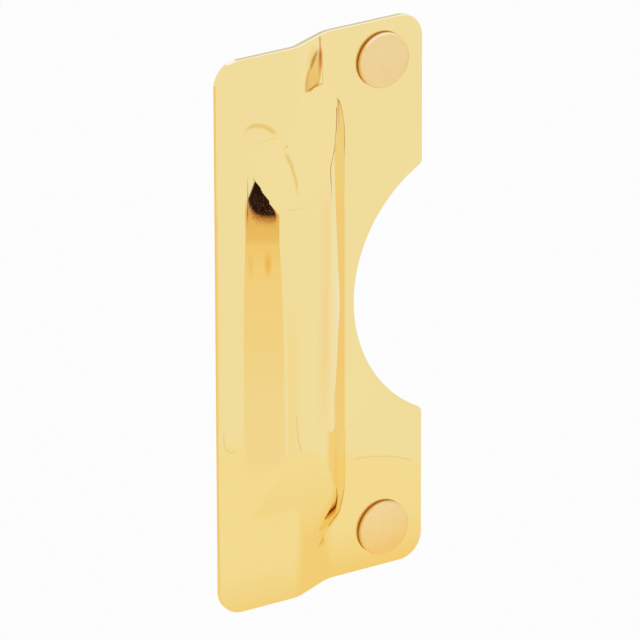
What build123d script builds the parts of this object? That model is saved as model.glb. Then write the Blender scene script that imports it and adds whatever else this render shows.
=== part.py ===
from build123d import *
import math
import os

# Door latch shield: a pressed steel plate for an outswing door, with its two carriage bolts.
# Millimetres. Seen from the front, +X is to the right, +Z is up and the front faces -Y.
# The origin is midway between the bolt axes, on the back face of the door flange.

# Sheet blank
PLATE_WIDTH = 76.2
PLATE_HEIGHT = 177.8
SHEET = 1.9
CORNER_R = 7.9
BOLT_TO_EDGE = 14.3

# Half-moon notch round the knob, in the free edge of the door flange
NOTCH_R = 45.2
NOTCH_CENTRE_X = 35.3
NOTCH_LIP_R = 2.0

# Joggle: the jamb flange stands forward of the door flange, up an S-bend
JOGGLE_STEP = 6.65
JOGGLE_LEAN = math.radians(24.5)
JOGGLE_MIDDLE_X = -26.9
JOGGLE_R = 9.0

# Bulge over the latch bolt: a ramp up from the jamb flange, a crest that rolls over into
# a steep wall down to the door flange, and a slope at each end
CREST_RISE = 12.4
RAMP_FOOT_X = -52.8
RAMP_LEAN = math.radians(30)
ROLL_R = 25.0
WALL_FOOT_X = -13.3
WALL_LEAN = math.radians(43.5)
END_FOOT_Z = 60.0
END_LEAN = math.radians(16.7)

# At each end the wall turns in two steps, to run up the joggle: a point on the foot of each
# step, how far it turns off upright, and its lean
WALL_TURNS = [
    ((-13.7, 61.0), math.radians(14), math.radians(45)),
    ((-16.5, 69.0), math.radians(45), math.radians(32)),
]

# Bend radii on the front face: outward round the bulge's ridges, inward along its foot
RIDGE_R = 5.0
FOOT_R = 1.0

# Carriage bolts, 5/16 inch, with a low head
BOLT_SPACING = 152.4
HEAD_R = 8.7
HEAD_HEIGHT = 2.6
HEAD_EDGE = 2.0
NECK_SIDE = 8.0
NECK_CORNER_R = 0.9
SHANK_R = 3.97
SHANK_LENGTH = 19.0
SHANK_POINT = 1.0
HOLE_SIDE = 8.7
HOLE_CORNER_R = 1.0

RIGHT = BOLT_TO_EDGE
LEFT = RIGHT - PLATE_WIDTH
BOLT_Z = BOLT_SPACING / 2
ROLL_START_X = WALL_FOOT_X - CREST_RISE / math.tan(WALL_LEAN) - ROLL_R * math.tan(WALL_LEAN / 2)

# The sheet is what lies between two solid forms, whose blocks reach well past the blank
REACH = 130
FORM_BASE = -20
BULGE_BASE = -10

LEVEL = Plane(origin=(0, -SHEET, 0), x_dir=(1, 0, 0), z_dir=(0, 0, -1))
DOOR_FRONT = Plane(origin=(0, -SHEET, 0), x_dir=(1, 0, 0), z_dir=(0, -1, 0))


def drawn_upright(outline):
    """A block from an outline in X and height over the door flange, drawn along Z."""
    return extrude(LEVEL * make_face(outline), REACH, both=True)


def joggle_form(depth):
    """All that lies behind the joggled sheet without its bulge, this deep under its front face."""
    half_run = JOGGLE_STEP / math.tan(JOGGLE_LEAN) / 2
    middle = JOGGLE_MIDDLE_X - depth * math.tan(JOGGLE_LEAN / 2)
    foot = (middle + half_run, -depth)
    head = (middle - half_run, JOGGLE_STEP - depth)
    right_end = (REACH, -depth)
    left_end = (-REACH, JOGGLE_STEP - depth)
    base = [(-REACH, FORM_BASE), (REACH, FORM_BASE)]
    profile = make_face(Polyline(right_end, foot, head, left_end, *base, close=True))
    profile = fillet(profile.vertices().sort_by_distance(foot)[0], JOGGLE_R + depth)
    profile = fillet(profile.vertices().sort_by_distance(head)[0], JOGGLE_R - depth)
    return drawn_upright(profile.edges())


def rolled_block(depth):
    """The crest and the wall that rolls down from it."""
    crest = Line((-REACH, CREST_RISE - depth), (ROLL_START_X, CREST_RISE - depth))
    roll = JernArc(crest @ 1, (1, 0), ROLL_R - depth, -math.degrees(WALL_LEAN))
    wall_drop = (roll @ 1).Y - BULGE_BASE
    wall_base = (roll @ 1) + Vector(wall_drop / math.tan(WALL_LEAN), -wall_drop)
    base = Polyline(roll @ 1, wall_base, (-REACH, BULGE_BASE), crest @ 0)
    return drawn_upright([crest.edge(), roll.edge(), *base.edges()])


def behind(x, height, z, normal, depth):
    """All that lies this deep behind a plane through a point of the front face."""
    surface = Plane(origin=(x, -SHEET - height, z), z_dir=normal).offset(-depth)
    return surface * Box(3 * REACH, 3 * REACH, REACH, align=(Align.CENTER, Align.CENTER, Align.MAX))


def bulge_form(depth):
    """The bulge as a block: ramp, rolled wall and sloping ends, with its ridges rounded."""
    ramp_normal = (-math.sin(RAMP_LEAN), -math.cos(RAMP_LEAN), 0)
    block = rolled_block(depth) & behind(RAMP_FOOT_X, JOGGLE_STEP, 0, ramp_normal, depth)
    for side in (-1, 1):
        end_normal = (0, -math.cos(END_LEAN), side * math.sin(END_LEAN))
        block &= behind(0, JOGGLE_STEP, side * END_FOOT_Z, end_normal, depth)
        for (x, z), turn, lean in WALL_TURNS:
            outward = math.sin(lean)
            normal = (outward * math.cos(turn), -math.cos(lean), side * outward * math.sin(turn))
            block &= behind(x, 0, side * z, normal, depth)
    return fillet(ridges(block), RIDGE_R - depth)


def ridges(block):
    """Edges over the block's base, but for the two where the roll leaves crest and wall smoothly."""
    raised = block.edges().filter_by(lambda e: e.center().Y < -SHEET - BULGE_BASE - 1)
    upright = raised.filter_by(Axis.Z)
    return raised - upright.filter_by(lambda e: e.center().X > ROLL_START_X - 1)


def pressed_form(depth):
    """All that lies behind the pressed sheet, this deep under its front face."""
    joggle = joggle_form(depth)
    bulge = bulge_form(depth)
    form = joggle + bulge
    foot = new_edges(joggle, bulge, combined=form)
    return fillet(foot, FOOT_R + depth)


def blank():
    """Outline of the sheet seen from the front, with its notch and two square bolt holes."""
    outline = Pos((LEFT + RIGHT) / 2, 0) * RectangleRounded(PLATE_WIDTH, PLATE_HEIGHT, CORNER_R)
    outline -= Pos(NOTCH_CENTRE_X, 0) * Circle(NOTCH_R)
    lips = [v for v in outline.vertices() if math.isclose(v.X, RIGHT) and abs(v.Y) < NOTCH_R]
    outline = fillet(lips, NOTCH_LIP_R)
    for bolt_z in (-BOLT_Z, BOLT_Z):
        outline -= Pos(0, bolt_z) * RectangleRounded(HOLE_SIDE, HOLE_SIDE, HOLE_CORNER_R)
    return outline


def shield_plate():
    sheet = pressed_form(0) - pressed_form(SHEET)
    return sheet & extrude(DOOR_FRONT * blank(), 2 * CREST_RISE, both=True)


def bolt_axis(bolt_z):
    """Plane across a bolt, under its head, with its normal out through the head."""
    return Plane(origin=(0, -SHEET, bolt_z), x_dir=(1, 0, 0), z_dir=(0, -1, 0))


def head_and_shank():
    """Half section of the bolt turned about its own axis, head upwards."""
    crown = HEAD_HEIGHT - HEAD_EDGE
    outline = Polyline(
        (0, HEAD_HEIGHT),
        (0, -SHANK_LENGTH),
        (SHANK_R - SHANK_POINT, -SHANK_LENGTH),
        (SHANK_R, -SHANK_LENGTH + SHANK_POINT),
        (SHANK_R, 0),
        (HEAD_R, 0),
        (HEAD_R, HEAD_EDGE),
    )
    dome = RadiusArc(outline @ 0, outline @ 1, (HEAD_R**2 + crown**2) / (2 * crown))
    return revolve(Plane.XZ * make_face(outline + dome), Axis.Z)


def carriage_bolt(bolt_z):
    neck = extrude(RectangleRounded(NECK_SIDE, NECK_SIDE, NECK_CORNER_R), -SHEET)
    return bolt_axis(bolt_z) * (head_and_shank() + neck)


def main():
    nodes = {
        "shield_plate": shield_plate(),
        "upper_bolt": carriage_bolt(BOLT_Z),
        "lower_bolt": carriage_bolt(-BOLT_Z),
    }
    os.makedirs("parts", exist_ok=True)
    for name, shape in nodes.items():
        export_step(shape, f"parts/{name}.step")


main()
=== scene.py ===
import math

import bpy
import numpy as np
from mathutils import Matrix, Vector
from mathutils.geometry import delaunay_2d_cdt


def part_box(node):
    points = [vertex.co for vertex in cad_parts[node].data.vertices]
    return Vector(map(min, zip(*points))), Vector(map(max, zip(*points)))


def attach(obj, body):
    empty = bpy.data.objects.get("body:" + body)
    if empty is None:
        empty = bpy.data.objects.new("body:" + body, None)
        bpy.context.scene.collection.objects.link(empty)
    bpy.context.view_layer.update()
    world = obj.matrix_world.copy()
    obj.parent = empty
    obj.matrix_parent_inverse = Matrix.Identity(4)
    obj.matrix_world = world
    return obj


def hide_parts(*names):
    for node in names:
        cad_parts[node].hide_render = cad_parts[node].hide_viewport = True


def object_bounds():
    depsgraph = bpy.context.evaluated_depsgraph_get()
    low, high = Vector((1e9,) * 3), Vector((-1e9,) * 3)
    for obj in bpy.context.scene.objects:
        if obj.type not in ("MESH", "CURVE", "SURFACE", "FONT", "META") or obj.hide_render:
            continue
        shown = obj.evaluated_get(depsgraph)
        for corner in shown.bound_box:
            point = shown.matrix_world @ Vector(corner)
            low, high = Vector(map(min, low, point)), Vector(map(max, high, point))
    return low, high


# Door latch shield, dressed: the pressed plate with smooth bends and polished gold plating, and
# its two satin carriage bolts with real threads. The row frame is in metres; shapes are worked
# out in millimetres, with x to the right, z up and h the height over the door flange's front.

MM = 0.001

# Plate
SHEET = 1.9
CORNER_R = 7.9
NOTCH_R = 45.2
NOTCH_CENTRE_X = 35.3
NOTCH_LIP_R = 2.0
EDGE_R = 0.35
HOLE_SIDE = 8.7
HOLE_CORNER_R = 1.0
BOLT_Z = 76.2

# Joggle and bulge
JOGGLE_STEP = 6.65
JOGGLE_SLOPE = math.tan(math.radians(24.5))
JOGGLE_MIDDLE_X = -26.9
CREST_RISE = 12.4
RAMP_FOOT_X = -52.8
RAMP_SLOPE = math.tan(math.radians(30))
ROLL_R = 25.0
WALL_FOOT_X = -13.3
WALL_LEAN = math.radians(43.5)
END_FOOT_Z = 60.0
END_SLOPE = math.tan(math.radians(16.7))
WALL_TURNS = [
    ((-13.7, 61.0), math.radians(14), math.radians(45)),
    ((-16.5, 69.0), math.radians(45), math.radians(32)),
]

# Height over which two slopes are blended where they meet
JOGGLE_BLEND = 0.9
FOOT_BLEND = 0.6
RIDGE_BLEND = 0.9

# Bolts
HEAD_R = 8.7
HEAD_HEIGHT = 2.6
HEAD_EDGE = 2.0
HEAD_RIM = 0.9
NECK_SIDE = 8.0
NECK_CORNER_R = 0.9
SHANK_R = 3.97
SHANK_LENGTH = 19.0
SHANK_POINT = 1.0
THREAD_PITCH = 25.4 / 18
THREAD_DEPTH = 0.8

# Plating, and the strength of the pale room on it
PLATING = (0.98, 0.8, 0.365)
ROOM_LIGHT = 0.905

# Floor: its distance under the plate, its half width, and how much of its look is glow
FLOOR_BELOW = 250
FLOOR_HALF = 6000
FLOOR_GLOW = 0.85

# Camera: azimuth and elevation from the object to it, and of its own axis, in degrees
CAMERA_FROM_OBJECT = (-32.55, 22.50)
CAMERA_AXIS = (-32.09, 22.69)
CAMERA_ROLL = math.radians(-0.17)
CAMERA_DISTANCE = 2.385
CAMERA_LENS = 445.0
CAMERA_CLIP = 20

# Cards: how far from the plate they stand along the turned line of sight, and the height of
# those that lie under it
STROKE_REACH = 120
WARM_REACH = 300
DARK_REACH = 150
FLOOR_CARD_Z = -95
FOOT_CARD_Z = -94
OVERHEAD_GAP = 45

# Flat facets of the front face: height at x = z = 0, and its slopes along x and z
FACETS = {
    "door": (0, 0, 0),
    "jamb": (JOGGLE_STEP, 0, 0),
    "joggle": (JOGGLE_STEP / 2 + JOGGLE_MIDDLE_X * JOGGLE_SLOPE, -JOGGLE_SLOPE, 0),
    "ramp": (JOGGLE_STEP - RAMP_FOOT_X * RAMP_SLOPE, RAMP_SLOPE, 0),
    "crest": (CREST_RISE, 0, 0),
    "top_end": (JOGGLE_STEP + END_FOOT_Z * END_SLOPE, 0, -END_SLOPE),
}

# Colours that the ramp shows, from its lower end up
RAMP_TONES = (
    (-60, (243, 214, 142)), (-20, (241, 213, 139)), (0, (241, 209, 129)), (22, (242, 206, 122)),
    (28.5, (240, 200, 110)), (30.6, (240, 199, 108)), (31.2, (234, 190, 97)), (37, (231, 182, 91)),
    (41, (222, 165, 80)),
)

# Marks in the plating: name, facet, path of (x, z), width, colour shown and options. Of two that
# cross, the one with the shorter reach lies in front. leaf_back hides what lies behind the leaf.
STROKES = (
    ("leaf_back", "joggle", [(-26.9, 93), (-26.9, 58)], 13, (242, 221, 155), {"soft": 0.1, "reach": 100}),
    ("leaf_glow", "joggle", [(-25, 87), (-28.5, 79.5)], (5, 7), (238, 205, 125),
     {"strength": 0.7, "fade": (2, 3), "reach": 96}),
    ("leaf_fill", "joggle", [(-24.3, 84.5), (-25.4, 80), (-26.3, 76.5), (-26.4, 72.6)], (2, 5.4, 7.6, 7.8),
     [(236, 198, 112), (230, 188, 98)], {"soft": 0.3, "strength": 0.9, "fade": (2, 0.1), "reach": 92}),
    ("leaf_left", "joggle", [(-27.9, 80.5), (-29.2, 76.5), (-29.5, 72.8)], 2.4, (228, 173, 92),
     {"reach": 90}),
    ("leaf_smudge", "joggle", [(-23.4, 85.0), (-25.5, 82.6), (-27.8, 79.2)], (1.8, 3.2, 2.0),
     [(205, 150, 65), (182, 125, 42), (205, 145, 65)], {"strength": 0.9, "reach": 88}),
    ("leaf_right", "joggle",
     [(-22.7, 88.7), (-22.6, 85.5), (-22.5, 82.0), (-22.5, 79.5), (-22.8, 76.8), (-23.3, 73.8)],
     (1.0, 1.3, 2.8, 2.8, 2.2, 1.8),
     [(185, 115, 50), (220, 160, 85), (180, 92, 22), (205, 125, 50), (232, 172, 90), (235, 185, 105)],
     {"fade": (0.1, 2), "reach": 86}),
    ("leaf_foot", "joggle", [(-23.3, 74.8), (-23.9, 73.9), (-25, 73.6), (-26.8, 73.4), (-29.4, 73.3)], 1.2,
     (190, 132, 52), {"reach": 84}),
    ("wall_line", None,
     [(-17.3, 65.4), (-17.7, 63.8), (-18.5, 61.8), (-19.6, 59.4), (-20.7, 56.8), (-21.6, 54.1), (-22.4, 51.3),
      (-22.9, 48.0), (-23.3, 43.5), (-23.5, 38.0)], (0.7, 0.7, 0.5), (165, 95, 32), {"fade": (0.5, 6)}),
    ("roll_glow", None, [(-26.2, 45.0), (-26.0, 20.0), (-26.8, -5.0), (-28.0, -38.0)], 8, (243, 212, 144),
     {"fade": (10, 25)}),
    ("tail", "joggle", [(-18.6, -72.2), (-20.6, -73.9), (-22.6, -75.3), (-24.6, -76.9)], (3.0, 2.8, 1.6),
     (233, 176, 78), {"reach": 43}),
    ("crest_glow", "crest", [(-41, 14), (-41, -50)], 12, (242, 215, 138), {"strength": 0.8, "fade": (20, 8)}),
    ("crest_line", "crest", [(-38.4, -25.3), (-37.6, -34), (-36.6, -38.6), (-35, -40.6)], 0.8,
     (230, 196, 124), {"strength": 0.8, "reach": 80}),
    ("jamb_line", "jamb", [(-60.3, -28), (-60.2, -31.5), (-59.5, -34.3), (-57.8, -35.7), (-56.0, -35.1)], 0.8,
     (230, 196, 124), {"strength": 0.8, "reach": 80}),
    ("door_line", "door", [(-10.4, -51.3), (-4, -51.9), (4, -53.8), (10.9, -56.6)], 0.8, (233, 200, 128),
     {"strength": 0.8, "reach": 80}),
    ("ramp_spot", "ramp", [(-46.6, 28.5), (-46.6, 19)], 2.8, (239, 182, 80), {"fade": (3, 4)}),
    ("ramp_edge", "ramp", [(-51, 28), (-51, 18)], 2.0, (238, 190, 98), {"strength": 0.8, "fade": (3, 5)}),
    ("arch_head", "jamb",
     [(-52.5, 64.9), (-51.2, 66.9), (-48.6, 67.4), (-45.6, 66.5), (-42.6, 64.4), (-41.2, 62.5)], 2.4,
     (232, 198, 116), {"fade": (4, 2)}),
    ("arch_side", "top_end", [(-38.8, 57.4), (-37.4, 53.2), (-36.6, 48.0), (-37.0, 43.7)], (2.2, 1.4),
     (232, 198, 116), {"fade": (2, 4)}),
)


def lower_of(a, b, blend):
    """The lower of two heights, rounded where they meet."""
    near = np.maximum(blend - np.abs(a - b), 0)
    return np.minimum(a, b) - near**2 / (4 * blend)


def higher_of(a, b, blend):
    """The higher of two heights, rounded where they meet."""
    return -lower_of(-a, -b, blend)


def sheet_height(x, z):
    """Height of the plate's front face over the front of its door flange."""
    slope = JOGGLE_STEP / 2 + (JOGGLE_MIDDLE_X - x) * JOGGLE_SLOPE
    joggle = lower_of(higher_of(slope, 0, JOGGLE_BLEND), JOGGLE_STEP, JOGGLE_BLEND)
    roll_start = WALL_FOOT_X - CREST_RISE / math.tan(WALL_LEAN) - ROLL_R * math.tan(WALL_LEAN / 2)
    across = np.clip(x - roll_start, 0, ROLL_R * math.sin(WALL_LEAN))
    roll = CREST_RISE - ROLL_R + np.sqrt(ROLL_R**2 - across**2)
    wall = roll - np.maximum(x - roll_start - across, 0) * math.tan(WALL_LEAN)
    ramp = JOGGLE_STEP + (x - RAMP_FOOT_X) * RAMP_SLOPE
    end = JOGGLE_STEP + (END_FOOT_Z - np.abs(z)) * END_SLOPE
    bulge = lower_of(lower_of(wall, ramp, RIDGE_BLEND), end, RIDGE_BLEND)
    for (foot_x, foot_z), turn, lean in WALL_TURNS:
        off_foot = (foot_x - x) * math.cos(turn) + (foot_z - np.abs(z)) * math.sin(turn)
        bulge = lower_of(bulge, off_foot * math.tan(lean), RIDGE_BLEND)
    return higher_of(joggle, bulge, FOOT_BLEND)


def front_face(at):
    """Points of the plate's front face over these (x, z), and the normals there."""
    step = 0.02
    x, z = at[:, 0], at[:, 1]
    along_x = (sheet_height(x + step, z) - sheet_height(x - step, z)) / (2 * step)
    along_z = (sheet_height(x, z + step) - sheet_height(x, z - step)) / (2 * step)
    points = np.stack([x, -SHEET - sheet_height(x, z), z], 1)
    normals = -np.stack([along_x, np.ones_like(x), along_z], 1)
    return points, normals / np.linalg.norm(normals, axis=1)[:, None]


def arc(centre, radius, start, end, pitch=0.4):
    """Points on an arc and their directions from its centre, angles in degrees."""
    count = max(4, math.ceil(abs(math.radians(end - start)) * radius / pitch))
    angles = np.radians(np.linspace(start, end, count + 1))
    out = np.stack([np.cos(angles), np.sin(angles)], 1)
    return np.array(centre) + radius * out, out


def side(start, end, out, pitch=0.8):
    """Points inside a straight side, without its ends, and the side's outward direction."""
    start, end = np.array(start), np.array(end)
    count = max(2, math.ceil(np.linalg.norm(end - start) / pitch))
    shares = np.linspace(0, 1, count + 1)[1:-1, None]
    return start + shares * (end - start), np.repeat([out], count - 1, axis=0)


def closed_outline(pieces):
    """Arcs in anticlockwise order, joined by straight sides into one loop."""
    points, outs = [], []
    for i, (p, o) in enumerate(pieces):
        following = pieces[(i + 1) % len(pieces)]
        points.append(p)
        outs.append(o)
        if np.linalg.norm(following[0][0] - p[-1]) > 0.01:
            between = side(p[-1], following[0][0], o[-1])
            points.append(between[0])
            outs.append(between[1])
    points, outs = np.concatenate(points), np.concatenate(outs)
    keep = np.linalg.norm(points - np.roll(points, -1, axis=0), axis=1) > 0.01
    return points[keep], outs[keep]


def plate_outline(left, right, top):
    """The blank's outline from the front, and the outward direction at each point."""
    inner_l, inner_r, inner_t = left + CORNER_R, right - CORNER_R, top - CORNER_R
    lip_x = right - NOTCH_LIP_R
    lip_z = math.sqrt((NOTCH_R + NOTCH_LIP_R) ** 2 - (NOTCH_CENTRE_X - lip_x) ** 2)
    lip_turn = math.degrees(math.atan2(lip_z, NOTCH_CENTRE_X - lip_x))
    notch_points, notch_outs = arc((NOTCH_CENTRE_X, 0), NOTCH_R, 180 + lip_turn, 180 - lip_turn)
    return closed_outline([
        arc((lip_x, lip_z), NOTCH_LIP_R, -lip_turn, 0, 0.2),
        arc((inner_r, inner_t), CORNER_R, 0, 90),
        arc((inner_l, inner_t), CORNER_R, 90, 180),
        arc((inner_l, -inner_t), CORNER_R, 180, 270),
        arc((inner_r, -inner_t), CORNER_R, 270, 360),
        arc((lip_x, -lip_z), NOTCH_LIP_R, 0, lip_turn, 0.2),
        (notch_points, -notch_outs),
    ])


def hole_outline(centre_z):
    """A square bolt hole with rounded corners, clockwise; outward is into the hole."""
    half = HOLE_SIDE / 2 - HOLE_CORNER_R
    corners = [(half, half), (-half, half), (-half, -half), (half, -half)]
    pieces = [
        arc((x, centre_z + z), HOLE_CORNER_R, 90 * i, 90 * i + 90, 0.2)
        for i, (x, z) in enumerate(corners)
    ]
    points, outs = closed_outline(pieces)
    return points[::-1], -outs[::-1]


def inside(points, loop):
    """Which points lie inside a closed loop, by counting the sides each one sees to its right."""
    start, end = loop, np.roll(loop, -1, axis=0)
    found = np.zeros(len(points), bool)
    for (x0, z0), (x1, z1) in zip(start, end):
        if z0 != z1:
            spans = (points[:, 1] > z0) != (points[:, 1] > z1)
            found ^= spans & (points[:, 0] < x0 + (points[:, 1] - z0) * (x1 - x0) / (z1 - z0))
    return found


def graded(*stretches):
    """Positions along a line, from (start, pitch) of each stretch to the start of the next."""
    lines = []
    for (start, pitch), (stop, _) in zip(stretches, stretches[1:]):
        lines.append(np.linspace(start, stop, math.ceil((stop - start) / pitch) + 1)[:-1])
    return np.concatenate(lines)


def sheet_points(left, right, top, loops):
    """Grid points inside the blank, finer over the bends, and clear of its outlines."""
    columns = graded((left, 1.0), (RAMP_FOOT_X - 3, 0.6), (WALL_FOOT_X - 3.5, 0.3),
                     (WALL_FOOT_X + 2.5, 1.0), (right, 0))
    ends = END_FOOT_Z - 5, END_FOOT_Z + 16
    rows = graded((-top, 0.9), (-ends[1], 0.45), (-ends[0], 0.9), (ends[0], 0.45), (ends[1], 0.9), (top, 0))
    grid = np.stack(np.meshgrid(columns, rows), -1).reshape(-1, 2)
    keep = inside(grid, loops[0])
    for hole in loops[1:]:
        keep &= ~inside(grid, hole)
    grid = grid[keep]
    near = np.zeros(len(grid), bool)
    for point in np.concatenate(loops):
        near |= ((grid - point) ** 2).sum(1) < 0.4**2
    return grid[~near]


def filled(loops, grid):
    """Triangles over the blank, and the plane points they use: the loops first, then the grid."""
    points = np.concatenate([*loops, grid])
    sides, first = [], 0
    for loop in loops:
        count = len(loop)
        sides += [(first + i, first + (i + 1) % count) for i in range(count)]
        first += count
    made = delaunay_2d_cdt([Vector(p) for p in points], sides, [], 0, 1e-5, True)
    source = [ids[0] for ids in made[3]]
    triangles = np.array([[source[v] for v in face] for face in made[2]])
    middles = points[triangles].mean(1)
    keep = inside(middles, loops[0])
    for hole in loops[1:]:
        keep &= ~inside(middles, hole)
    return points, triangles[keep]


def rim_rings(loop, outs):
    """Rings from a loop's front edge round to its back edge, with the normals of each."""
    points, normals = front_face(loop)
    slope = (outs[:, :1] * normals[:, :1] + outs[:, 1:] * normals[:, 2:]) / -normals[:, 1:2]
    outward = np.concatenate([outs[:, :1], slope, outs[:, 1:]], 1)
    outward /= np.linalg.norm(outward, axis=1)[:, None]
    rings = []
    turns = np.radians([0, 30, 60, 90])
    for turn in turns:
        sunk = EDGE_R * (1 - math.cos(turn))
        rings.append((turn, sunk, 1))
    for turn in turns[::-1]:
        rings.append((turn, SHEET - EDGE_R * (1 - math.cos(turn)), -1))
    return [
        (
            points + outward * EDGE_R * math.sin(turn) - normals * sunk,
            outward * math.sin(turn) + normals * math.cos(turn) * facing,
        )
        for turn, sunk, facing in rings
    ]


def mesh_object(name, points, faces, normals=None):
    """A smooth mesh from points in millimetres, with its own normals where they are given."""
    mesh = bpy.data.meshes.new(name)
    mesh.from_pydata((points * MM).tolist(), [], faces)
    mesh.shade_smooth()
    if normals is not None:
        mesh.normals_split_custom_set_from_vertices(normals.tolist())
    made = bpy.data.objects.new(name, mesh)
    bpy.context.scene.collection.objects.link(made)
    return made


def pressed_plate():
    """The plate: front face, back face one thickness behind it, and rounded cut edges."""
    low, high = (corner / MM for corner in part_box("shield_plate"))
    left, right, top = low.x, high.x, high.z
    outlines = [plate_outline(left, right, top), hole_outline(BOLT_Z), hole_outline(-BOLT_Z)]
    loops = [points - EDGE_R * outs for points, outs in outlines]
    flat, triangles = filled(loops, sheet_points(left, right, top, loops))
    front, facing = front_face(flat)
    points = [front, front - SHEET * facing]
    normals = [facing, -facing]
    count = len(flat)
    faces = triangles.tolist() + (triangles[:, ::-1] + count).tolist()
    first, used = 0, 2 * count
    for loop, (_, outs) in zip(loops, outlines):
        size = len(loop)
        rings = rim_rings(loop, outs)[1:-1]
        starts = [first, *(used + size * i for i in range(len(rings))), count + first]
        points += [p for p, _ in rings]
        normals += [n for _, n in rings]
        for a, b in zip(starts, starts[1:]):
            for i in range(size):
                j = (i + 1) % size
                faces.append((a + i, b + i, b + j, a + j))
        first += size
        used += size * len(rings)
    return mesh_object("pressed_plate", np.concatenate(points), faces, np.concatenate(normals))


def bolt_frame(points, bolt_z):
    """Points drawn about the X axis, head towards +X, placed as a bolt through the plate."""
    along, across, up = points.T
    return np.stack([across, -SHEET - along, up + bolt_z], 1)


def ring_of(along, radius, angles):
    return np.stack([np.full_like(angles, along), radius * np.cos(angles), radius * np.sin(angles)], 1)


def skin(rings):
    """Closed surface through rings of equal count, with a fan over each end."""
    count = len(rings[0])
    points = np.concatenate([*rings, rings[0].mean(0)[None], rings[-1].mean(0)[None]])
    faces = []
    for i in range(len(rings) - 1):
        for j in range(count):
            k = (j + 1) % count
            faces.append((i * count + j, i * count + k, (i + 1) * count + k, (i + 1) * count + j))
    last = (len(rings) - 1) * count
    start, end = len(rings) * count, len(rings) * count + 1
    faces += [(start, (j + 1) % count, j) for j in range(count)]
    faces += [(end, last + j, last + (j + 1) % count) for j in range(count)]
    return points, faces


def head_rings():
    """Low head: flat underside, a rounded rim and a faintly domed top."""
    angles = np.linspace(0, 2 * math.pi, 128, endpoint=False)
    edge = HEAD_EDGE - 0.15
    rings = [ring_of(0, HEAD_R * share, angles) for share in (0.5, 0.97)]
    rings.append(ring_of(0.15, HEAD_R - 0.05, angles))
    rings.append(ring_of(0.4, HEAD_R, angles))
    for turn in np.radians([0, 15, 30, 45, 60, 75]):
        radius = HEAD_R - HEAD_RIM * (1 - math.cos(turn))
        rings.append(ring_of(edge - HEAD_RIM * (1 - math.sin(turn)), radius, angles))
    reach = HEAD_R - HEAD_RIM
    for share in (0.97, 0.9, 0.75, 0.55, 0.35, 0.15, 0.03):
        rings.append(ring_of(edge + (HEAD_HEIGHT - edge) * (1 - share**2), reach * share, angles))
    return rings


def neck_rings():
    """Square neck that fills the plate's hole."""
    half = NECK_SIDE / 2 - NECK_CORNER_R
    corners = [(half, half), (-half, half), (-half, -half), (half, -half)]
    loop, _ = closed_outline([arc(c, NECK_CORNER_R, 90 * i, 90 * i + 90, 0.2) for i, c in enumerate(corners)])
    return [np.stack([np.full(len(loop), along), loop[:, 0], loop[:, 1]], 1) for along in (0.1, -SHEET)][::-1]


def shank_rings():
    """Threaded shank, with the thread running out at the neck and at the point."""
    angles = np.linspace(0, 2 * math.pi, 64, endpoint=False)
    rings = []
    for along in np.linspace(SHEET, SHANK_LENGTH, round((SHANK_LENGTH - SHEET) / THREAD_PITCH * 14)):
        turn = (along / THREAD_PITCH - angles / (2 * math.pi)) % 1
        flank = np.clip(np.abs(2 * turn - 1) * 1.25 - 0.125, 0, 1)
        near_neck = min(max((along - SHEET - 1) / 1.5, 0), 1)
        radius = SHANK_R - THREAD_DEPTH * flank * near_neck
        radius = np.minimum(radius, SHANK_R - SHANK_POINT + (SHANK_LENGTH - along))
        ring = ring_of(0, 1, angles) * radius[:, None]
        ring[:, 0] = -along
        rings.append(ring)
    return rings[::-1]


def carriage_bolt(name, bolt_z):
    points, faces, first = [], [], 0
    for rings in (head_rings(), neck_rings(), shank_rings()):
        part_points, part_faces = skin(rings)
        points.append(bolt_frame(part_points, bolt_z))
        faces += [tuple(first + v for v in face) for face in part_faces]
        first += len(part_points)
    bolt = mesh_object(name, np.concatenate(points), faces)
    bolt.data.set_sharp_from_angle(angle=math.radians(38))
    return bolt


# Materials

def new_material(name, colour, roughness):
    """A metal whose own colour and roughness are set, with its node tree and shader."""
    material = bpy.data.materials.new(name)
    material.use_nodes = True
    shader = material.node_tree.nodes["Principled BSDF"]
    shader.inputs["Base Color"].default_value = (*colour, 1)
    shader.inputs["Metallic"].default_value = 1
    shader.inputs["Roughness"].default_value = roughness
    return material, material.node_tree, shader


def noise(tree, scale, detail=2, stretch=(1, 1, 1)):
    """Noise in the object's own space, in features per metre."""
    place = tree.nodes.new("ShaderNodeTexCoord")
    mapping = tree.nodes.new("ShaderNodeMapping")
    mapping.inputs["Scale"].default_value = stretch
    texture = tree.nodes.new("ShaderNodeTexNoise")
    texture.inputs["Scale"].default_value = scale
    texture.inputs["Detail"].default_value = detail
    tree.links.new(place.outputs["Object"], mapping.inputs["Vector"])
    tree.links.new(mapping.outputs["Vector"], texture.inputs["Vector"])
    return texture.outputs["Fac"]


def ranged(tree, value, low, high):
    """The value, 0 to 1, spread over a range."""
    node = tree.nodes.new("ShaderNodeMapRange")
    node.inputs["To Min"].default_value = low
    node.inputs["To Max"].default_value = high
    tree.links.new(value, node.inputs["Value"])
    return node.outputs["Result"]


def tinted(tree, value, low, high):
    """A colour between two, by the value."""
    ramp = tree.nodes.new("ShaderNodeValToRGB")
    ramp.color_ramp.elements[0].color = (*low, 1)
    ramp.color_ramp.elements[1].color = (*high, 1)
    tree.links.new(value, ramp.inputs["Fac"])
    return ramp.outputs["Color"]


def bumped(tree, shader, value, height):
    bump = tree.nodes.new("ShaderNodeBump")
    bump.inputs["Strength"].default_value = 1
    bump.inputs["Distance"].default_value = height
    tree.links.new(value, bump.inputs["Height"])
    tree.links.new(bump.outputs["Normal"], shader.inputs["Normal"])


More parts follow.
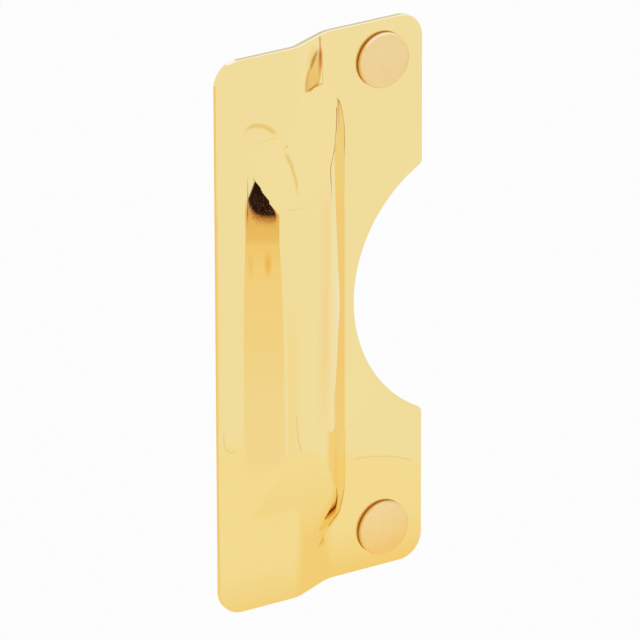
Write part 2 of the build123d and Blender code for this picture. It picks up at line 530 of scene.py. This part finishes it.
def painted_corner_shade(tree, colour, depth, shade_colour):
    """The colour, darkened to a painted shade in corners narrower than this depth in millimetres, where
    ambient occlusion finds them.
    """
    corner = tree.nodes.new("ShaderNodeAmbientOcclusion")
    corner.samples = 8
    corner.inputs["Distance"].default_value = depth * MM
    share = tree.nodes.new("ShaderNodeMapRange")
    share.interpolation_type = "SMOOTHSTEP"
    share.inputs["From Min"].default_value = 0.45
    share.inputs["From Max"].default_value = 0.85
    mix = tree.nodes.new("ShaderNodeMix")
    mix.data_type = "RGBA"
    tree.links.new(corner.outputs["AO"], share.inputs["Value"])
    tree.links.new(share.outputs["Result"], mix.inputs["Factor"])
    mix.inputs["A"].default_value = (*shade_colour, 1)
    tree.links.new(colour, mix.inputs["B"])
    return mix.outputs["Result"]


def polished_plating():
    material, tree, shader = new_material("polished_plating", PLATING, 0.03)
    colour = tinted(tree, noise(tree, 25), (0.97, 0.79, 0.355), (0.99, 0.81, 0.375))
    tree.links.new(colour, shader.inputs["Base Color"])
    tree.links.new(ranged(tree, noise(tree, 120, 4), 0.004, 0.016), shader.inputs["Roughness"])
    bumped(tree, shader, noise(tree, 90), 2e-6)
    return material


def satin_plating():
    material, tree, shader = new_material("satin_plating", (0.9, 0.68, 0.36), 0.3)
    colour = tinted(tree, noise(tree, 400, 4), (0.95, 0.7, 0.32), (0.99, 0.77, 0.4))
    # Painted shade: the bolts' colour turns dark brown in tight corners, such as where a head meets the
    # plate.
    tree.links.new(painted_corner_shade(tree, colour, 2.5, (0.42, 0.14, 0.02)), shader.inputs["Base Color"])
    tree.links.new(ranged(tree, noise(tree, 900, 4), 0.24, 0.42), shader.inputs["Roughness"])
    bumped(tree, shader, noise(tree, 2500, 3, (0.3, 1, 1)), 1e-5)
    return material


def room_light(tree):
    """The strength of the pale room: full white to the camera, a little less on the object."""
    rays = tree.nodes.new("ShaderNodeLightPath")
    strength = tree.nodes.new("ShaderNodeMapRange")
    strength.inputs["To Min"].default_value = ROOM_LIGHT
    strength.inputs["To Max"].default_value = 1
    tree.links.new(rays.outputs["Is Camera Ray"], strength.inputs["Value"])
    return strength.outputs["Result"]


def pale_floor():
    """A white floor that the camera and the plating see brightly, with the object's shadow."""
    material = bpy.data.materials.new("pale_floor")
    material.use_nodes = True
    tree = material.node_tree
    shader = tree.nodes["Principled BSDF"]
    shader.inputs["Base Color"].default_value = (0.95, 0.95, 0.95, 1)
    shader.inputs["Roughness"].default_value = 0.9
    rays = tree.nodes.new("ShaderNodeLightPath")
    either = tree.nodes.new("ShaderNodeMath")
    either.operation = "MAXIMUM"
    share = tree.nodes.new("ShaderNodeMath")
    share.operation = "MULTIPLY"
    share.inputs[1].default_value = FLOOR_GLOW
    glow = tree.nodes.new("ShaderNodeEmission")
    mix = tree.nodes.new("ShaderNodeMixShader")
    tree.links.new(rays.outputs["Is Camera Ray"], either.inputs[0])
    tree.links.new(rays.outputs["Is Glossy Ray"], either.inputs[1])
    tree.links.new(either.outputs["Value"], share.inputs[0])
    tree.links.new(share.outputs["Value"], mix.inputs["Fac"])
    tree.links.new(room_light(tree), glow.inputs["Strength"])
    tree.links.new(shader.outputs["BSDF"], mix.inputs[1])
    tree.links.new(glow.outputs["Emission"], mix.inputs[2])
    tree.links.new(mix.outputs["Shader"], tree.nodes["Material Output"].inputs["Surface"])
    return material


def card_material():
    """Light in each card's own tones, clear where the card has no cover."""
    material = bpy.data.materials.new("card_glow")
    material.use_nodes = True
    tree = material.node_tree
    tones = tree.nodes.new("ShaderNodeAttribute")
    tones.attribute_name = "tone"
    glow = tree.nodes.new("ShaderNodeEmission")
    clear = tree.nodes.new("ShaderNodeBsdfTransparent")
    mix = tree.nodes.new("ShaderNodeMixShader")
    tree.links.new(tones.outputs["Color"], glow.inputs["Color"])
    tree.links.new(tones.outputs["Alpha"], mix.inputs["Fac"])
    tree.links.new(clear.outputs["BSDF"], mix.inputs[1])
    tree.links.new(glow.outputs["Emission"], mix.inputs[2])
    tree.links.new(mix.outputs["Shader"], tree.nodes["Material Output"].inputs["Surface"])
    return material


# The object

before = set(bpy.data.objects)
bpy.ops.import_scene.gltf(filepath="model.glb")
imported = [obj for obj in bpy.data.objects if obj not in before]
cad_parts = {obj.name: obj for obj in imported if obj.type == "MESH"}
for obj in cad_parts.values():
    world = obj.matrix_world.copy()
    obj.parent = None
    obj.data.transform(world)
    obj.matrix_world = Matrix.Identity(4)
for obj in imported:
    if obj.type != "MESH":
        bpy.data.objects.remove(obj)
cad_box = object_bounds()

plate = pressed_plate()
upper_bolt = carriage_bolt("upper_carriage_bolt", BOLT_Z)
lower_bolt = carriage_bolt("lower_carriage_bolt", -BOLT_Z)
polished, satin = polished_plating(), satin_plating()
dressed = (
    (plate, "shield_plate", "plated_steel", polished),
    (upper_bolt, "upper_bolt", "plated_bolt", satin),
    (lower_bolt, "lower_bolt", "plated_bolt", satin),
)
for piece, node, slot, material in dressed:
    piece.data.materials.append(material)
    cad_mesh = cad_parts[node].data
    cad_mesh.materials.clear()
    cad_mesh.materials.append(material)
    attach(piece, "root")
    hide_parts(node)

card_glow = card_material()

# Pale studio: white all round, over a plain floor

world = bpy.data.worlds.new("studio")
bpy.context.scene.world = world
world.use_nodes = True
background = world.node_tree.nodes["Background"]
background.inputs["Color"].default_value = (1, 1, 1, 1)
world.node_tree.links.new(room_light(world.node_tree), background.inputs["Strength"])

floor_z = cad_box[0].z / MM - FLOOR_BELOW
floor_corners = ((-1, -1), (1, -1), (1, 1), (-1, 1))
floor_points = np.array([(FLOOR_HALF * x, FLOOR_HALF * y, floor_z) for x, y in floor_corners])
floor = mesh_object("floor", floor_points, [(0, 1, 2, 3)])
floor.data.materials.append(pale_floor())

# Camera


def direction(azimuth, elevation):
    """From the object out towards a camera at this azimuth and elevation, in degrees."""
    a, e = math.radians(azimuth), math.radians(elevation)
    return Vector((math.sin(a) * math.cos(e), -math.cos(a) * math.cos(e), math.sin(e)))


camera = bpy.data.objects.new("camera", bpy.data.cameras.new("camera"))
bpy.context.scene.collection.objects.link(camera)
bpy.context.scene.camera = camera
camera.data.sensor_width = 36
camera.data.lens = CAMERA_LENS
camera.location = direction(*CAMERA_FROM_OBJECT) * CAMERA_DISTANCE
back = direction(*CAMERA_AXIS)
right = Vector((0, 0, 1)).cross(back).normalized()
up = back.cross(right)
cos_roll, sin_roll = math.cos(CAMERA_ROLL), math.sin(CAMERA_ROLL)
right, up = right * cos_roll + up * sin_roll, up * cos_roll - right * sin_roll
camera.rotation_euler = Matrix((right, up, back)).transposed().to_euler()
camera.data.clip_end = CAMERA_CLIP

view = bpy.context.scene.view_settings
view.view_transform = "Standard"

# Cards: what the polished plating reflects, each hidden from the camera itself


def flat_face(at, facet):
    """Points of one flat facet of the front face, also past its edges, and its normal at each."""
    start, along_x, along_z = facet
    x, z = at[:, 0], at[:, 1]
    points = np.stack([x, -SHEET - (start + along_x * x + along_z * z), z], 1)
    normal = -np.array([along_x, 1, along_z])
    return points, np.repeat([normal / np.linalg.norm(normal)], len(at), axis=0)


def seen_in(at, reach, facet=None):
    """Where the camera's lines of sight, off the plate's front over (x, z), arrive at this reach."""
    points, normals = flat_face(at, facet) if facet else front_face(at)
    sight = points - np.array(camera.location) / MM
    sight /= np.linalg.norm(sight, axis=1)[:, None]
    ends = points + reach * (sight - 2 * (sight * normals).sum(1)[:, None] * normals)
    ends[:, 1] = -SHEET - np.abs(ends[:, 1] + SHEET)  # the door flange turns back what meets it
    return ends


def shown(colour):
    """The light that the plating shows as this colour, given as 8-bit sRGB."""
    share = np.array(colour) / 255
    linear = np.where(share > 0.04045, ((share + 0.055) / 1.055) ** 2.4, share / 12.92)
    return linear / np.array(PLATING)


def card(name, points, tones, cover):
    """A glowing card through a grid of points, with a tone and a cover at each."""
    rows, columns = points.shape[:2]
    faces = [
        (i * columns + j, i * columns + j + 1, (i + 1) * columns + j + 1, (i + 1) * columns + j)
        for i in range(rows - 1)
        for j in range(columns - 1)
    ]
    made = mesh_object(name, points.reshape(-1, 3), faces)
    values = np.concatenate([tones.reshape(-1, 3), cover.reshape(-1, 1)], 1)
    layer = made.data.color_attributes.new("tone", "FLOAT_COLOR", "POINT")
    layer.data.foreach_set("color", values.ravel())
    made.data.materials.append(card_glow)
    for kind in ("camera", "diffuse", "transmission", "volume_scatter", "shadow"):
        setattr(made, f"visible_{kind}", False)


def spread(values, along):
    """Rows of values, spaced evenly over a line, at each place along it."""
    places = np.linspace(0, along[-1], len(values))
    return np.stack([np.interp(along, places, column) for column in values.T], 1)


def stroke(name, facet, path, width, colour, strength=1, soft=1, fade=(1.5, 1.5), reach=STROKE_REACH):
    """A card seen as a line along a path on the plate, soft across and fading at its ends."""
    path = np.array(path, float)
    runs = np.concatenate([[0], np.cumsum(np.linalg.norm(np.diff(path, axis=0), axis=1))])
    along = np.linspace(0, runs[-1], math.ceil(runs[-1] / 0.7) + 2)
    line = np.stack([np.interp(along, runs, path[:, i]) for i in (0, 1)], 1)
    run = np.gradient(line, axis=0)
    out = np.stack([-run[:, 1], run[:, 0]], 1) / np.linalg.norm(run, axis=1)[:, None]
    across = np.linspace(-1, 1, 9)
    widths = spread(np.atleast_1d(width)[:, None], along)[:, 0]
    tones = spread(np.array([shown(c) for c in np.atleast_2d(colour)]), along)
    grid = line[:, None] + out[:, None] * across[None, :, None] * widths[:, None, None] / 2
    body = np.clip((1 - np.abs(across)) / soft, 0, 1)
    ends = np.clip(along / fade[0], 0, 1) * np.clip((runs[-1] - along) / fade[1], 0, 1)
    cover = strength * ends[:, None] * (body * body * (3 - 2 * body))[None]
    points = seen_in(grid.reshape(-1, 2), reach, FACETS.get(facet)).reshape(grid.shape[:2] + (3,))
    card(name, points, np.broadcast_to(tones[:, None], points.shape), cover)


def warm_card():
    """Warm light from the front left, paler downwards, which the bulge's ramp shows."""
    middle = np.array([(RAMP_FOOT_X + 5, 0)])
    turns = np.linspace(-50, 30, 81)
    azimuth = np.radians(turns)
    z = np.linspace(-75, 60, 136)
    hub = flat_face(middle, FACETS["ramp"])[0][0]
    ring = seen_in(np.stack([np.full_like(z, middle[0, 0]), z], 1), WARM_REACH, FACETS["ramp"])
    radius = np.hypot(ring[:, 0] - hub[0], ring[:, 1] - hub[1])
    around = np.stack([np.sin(azimuth), -np.cos(azimuth), np.zeros_like(azimuth)], 1)
    points = hub * (1, 1, 0) + radius[:, None, None] * around + ring[:, None, 2:] * (0, 0, 1)
    heights = [stop for stop, _ in RAMP_TONES]
    tones = np.array([shown(colour) for _, colour in RAMP_TONES])
    tone = np.stack([np.interp(z, heights, tones[:, i]) for i in range(3)], -1)
    right = np.interp(z, (-60, -4, 12, 25, 31), (14, 8, 2, -8, -14))[:, None]
    soft = np.interp(z, (-60, -4, 20), (24, 12, 2))[:, None]
    cover = np.clip((right - turns) / soft + 0.5, 0, 1) * np.clip((turns + 50) / 10, 0, 1)
    share = np.interp(z, (-75, -62, 40, 45), (0, 1, 1, 0))[:, None]
    card("card_warm", points, np.repeat(tone[:, None], len(azimuth), 1), share * cover)


def dark_card():
    """A dark gap over the warm light, whose lower edge breaks up in specks."""
    x = np.arange(-52, -43, 0.15)
    z = np.arange(35, 53.5, 0.15)
    grid = np.stack(np.meshgrid(x, z), -1)
    random = np.random.default_rng(3)
    left = np.interp(grid[..., 1], (45, 52.7), (-51.6, -49.2))
    right = np.interp(grid[..., 1], (39.4, 52.7), (-44.1, -49.2))
    foot_line = [(-51.6, 44), (-50.7, 41.6), (-49.6, 40.2), (-48, 39.4), (-46, 39.2), (-44, 39.4)]
    over_foot = grid[..., 1] - np.interp(grid[..., 0], *zip(*foot_line))
    left_side = np.clip((grid[..., 0] - left) / 0.4 + 0.5, 0, 1)
    right_side = np.clip((right - grid[..., 0]) / 0.4 + 0.5, 0, 1)
    rough = random.normal(0, 0.2, grid.shape[:2])
    cover = np.clip(over_foot / 2.4 + 1.2 + 1.5 * rough, 0, 1) * (left_side * right_side)
    depth = np.clip(over_foot / 1.5 + 0.6, 0, 1)[..., None]
    tone = shown((180, 110, 40)) * (1 - depth) + shown((40, 20, 12)) * depth
    specks = np.clip(random.random(grid.shape[:2]) * 10 - 9, 0, 1)
    specks = specks * np.clip((48 - grid[..., 1]) / 6, 0, 1)
    tone = tone + specks[..., None] * (shown((150, 112, 70)) - tone)
    points = seen_in(grid.reshape(-1, 2), DARK_REACH, FACETS["ramp"]).reshape(grid.shape[:2] + (3,))
    card("card_dark", points, tone, cover)


def at_height(flat, z):
    """A grid of (x, y) points, all at one height."""
    return np.concatenate([flat, np.full(flat.shape[:2] + (1,), z)], -1)


def floor_card():
    """Warmer light from right under the plate, which the lowest third of the plate shows."""
    edge = [(-150, -100), (-60, -150), (18, -133), (52, -89), (84, -52), (110, -10), (110, 40)]
    middle = np.array((-20.0, 20.0))
    shares = np.array([0, 0.93, 1])
    flat = middle + shares[:, None, None] * (np.array(edge) - middle)[None]
    tone = np.broadcast_to(shown((243, 218, 143)), flat.shape[:2] + (3,))
    cover = np.broadcast_to(np.array([1, 1, 0])[:, None], flat.shape[:2])
    card("card_floor", at_height(flat, FLOOR_CARD_Z), tone, cover)


def foot_card():
    """Deeper light close under the plate's lower edge."""
    flat = np.stack(np.meshgrid((-150.0, 110.0), (40, -12, -24, -42)), -1)
    tone = np.broadcast_to(shown((242, 204, 112)), flat.shape[:2] + (3,))
    cover = np.repeat(np.array([1, 1, 0.5, 0])[:, None], 2, 1)
    card("card_foot", at_height(flat, FOOT_CARD_Z), tone, cover)


def side_card(left):
    """Warm light from behind on the left, which the plate's left edge shows."""
    turn = np.radians((-160, -136))
    spots = np.stack([left + 100 * np.sin(turn), -8 - 100 * np.cos(turn)], 1)
    points = np.stack([np.concatenate([spots, np.full((2, 1), height)], 1) for height in (-140, 60)])
    card("card_side", points, np.broadcast_to(shown((243, 200, 108)), points.shape), np.ones((2, 2)))


def overhead_card(top):
    """Light from overhead that the plate's top edge shows, dimmer behind the plate."""
    flat = np.stack(np.meshgrid((-60.0, 120.0), (-40, 70, 78, 140)), -1)
    bright, dim = shown((253, 246, 225)), shown((215, 200, 150))
    tone = np.repeat(np.array([bright, bright, dim, dim])[:, None], 2, 1)
    card("card_overhead", at_height(flat, top + OVERHEAD_GAP), tone, np.ones((4, 2)))


warm_card()
dark_card()
floor_card()
foot_card()
side_card(cad_box[0].x / MM)
overhead_card(cad_box[1].z / MM)
for name, *look, options in STROKES:
    stroke(f"card_{name}", *look, **options)
